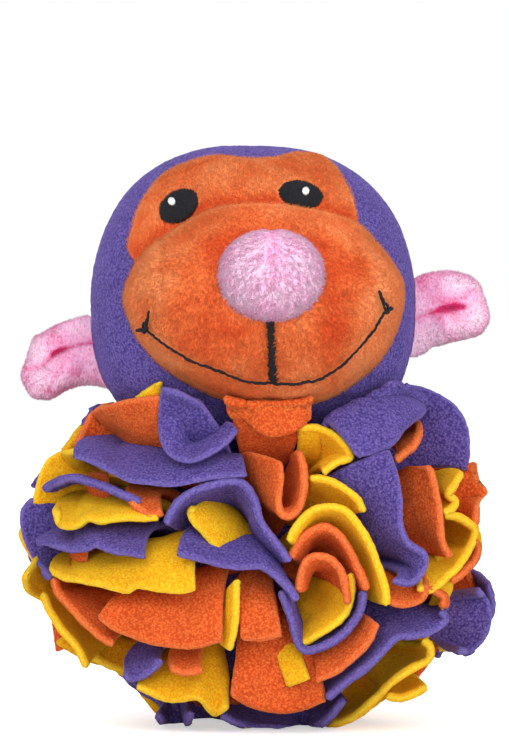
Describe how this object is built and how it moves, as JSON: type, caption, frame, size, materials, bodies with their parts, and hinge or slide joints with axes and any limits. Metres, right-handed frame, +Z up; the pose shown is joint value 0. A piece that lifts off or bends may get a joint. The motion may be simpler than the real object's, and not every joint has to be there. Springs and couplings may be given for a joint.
{
  "type": "plush dog toy",
  "caption": "Plush pet toy: a round stuffed monkey head with folded ears that turns and nods on a ball of folded fleece strips.",
  "frame": {"origin": "middle of the toy's outline, on the surface that it rests on", "axes": "+Z up; the face looks along -Y; +X is to the right as the face is looked at"},
  "size_m": [0.1481, 0.1322, 0.18],
  "materials": {
    "purple_fleece": "nubby polar fleece",
    "orange_fleece": "cut strips of polar fleece",
    "yellow_fleece": "cut strips of polar fleece",
    "orange_plush": "short-pile plush",
    "pink_plush": "longer-pile plush",
    "nose_plush": "fuzzy longer-pile plush",
    "black_thread": "satin embroidery thread",
    "white_filling": "polyester fibre filling",
    "squeaker_plastic": "soft moulded plastic"
  },
  "bodies": {
    "ball": {"core_cover": "purple_fleece", "core_filling": "white_filling", "strip_01_purple": "purple_fleece", "strip_02_purple": "purple_fleece", "strip_03_yellow": "yellow_fleece", "strip_04_orange": "orange_fleece", "strip_05_orange": "orange_fleece", "strip_06_purple": "purple_fleece", "strip_07_yellow": "yellow_fleece", "strip_08_yellow": "yellow_fleece", "strip_09_yellow": "yellow_fleece", "strip_10_yellow": "yellow_fleece", "strip_11_purple": "purple_fleece", "strip_12_orange": "orange_fleece", "strip_13_orange": "orange_fleece", "strip_14_orange": "orange_fleece", "strip_15_yellow": "yellow_fleece", "strip_16_purple": "purple_fleece", "strip_17_yellow": "yellow_fleece", "strip_18_orange": "orange_fleece", "strip_19_purple": "purple_fleece", "strip_20_purple": "purple_fleece", "strip_21_purple": "purple_fleece", "strip_22_purple": "purple_fleece", "strip_23_orange": "orange_fleece", "strip_24_purple": "purple_fleece", "strip_25_yellow": "yellow_fleece", "strip_26_yellow": "yellow_fleece", "strip_27_purple": "purple_fleece", "strip_28_yellow": "yellow_fleece", "strip_29_orange": "orange_fleece", "strip_30_purple": "purple_fleece", "strip_31_orange": "orange_fleece", "strip_32_purple": "purple_fleece", "strip_33_orange": "orange_fleece", "strip_34_purple": "purple_fleece", "strip_35_orange": "orange_fleece", "strip_36_orange": "orange_fleece", "strip_37_yellow": "yellow_fleece", "strip_38_purple": "purple_fleece", "strip_39_yellow": "yellow_fleece", "strip_40_purple": "purple_fleece", "strip_41_yellow": "yellow_fleece", "strip_42_yellow": "yellow_fleece", "strip_43_orange": "orange_fleece", "strip_44_purple": "purple_fleece"},
    "neck": {"neck_collar": "purple_fleece"},
    "head": {"head_cover": "purple_fleece", "face_mask": "orange_plush", "muzzle": "orange_plush", "nose": "nose_plush", "left_eye": "black_thread", "right_eye": "black_thread", "mouth_stitching": "black_thread", "head_filling": "white_filling", "squeaker": "squeaker_plastic"},
    "ear_left": {"left_ear": "pink_plush"},
    "ear_right": {"right_ear": "pink_plush"}
  },
  "joints": [
    {"name": "neck_turn", "type": "hinge", "parent": "ball", "child": "neck", "pos_m": [0.0012, 0.0124, 0.0705], "axis": [0, 0, 1], "range_deg": [-15, 15], "stiffness_Nm_per_rad": 0.2},
    {"name": "head_nod", "type": "hinge", "parent": "neck", "child": "head", "pos_m": [0.0012, 0.0124, 0.084], "axis": [1, 0, 0], "range_deg": [-4, 4], "stiffness_Nm_per_rad": 0.4},
    {"name": "left_ear_flap", "type": "hinge", "parent": "head", "child": "ear_left", "pos_m": [-0.05461, 0.0064, 0.11458], "axis": [-0.2422, 0, 0.9702], "range_deg": [-35, 35], "stiffness_Nm_per_rad": 0.003},
    {"name": "right_ear_flap", "type": "hinge", "parent": "head", "child": "ear_right", "pos_m": [0.05318, 0.0064, 0.12943], "axis": [0.017, 0, 0.9999], "range_deg": [-35, 35], "stiffness_Nm_per_rad": 0.003}
  ]
}
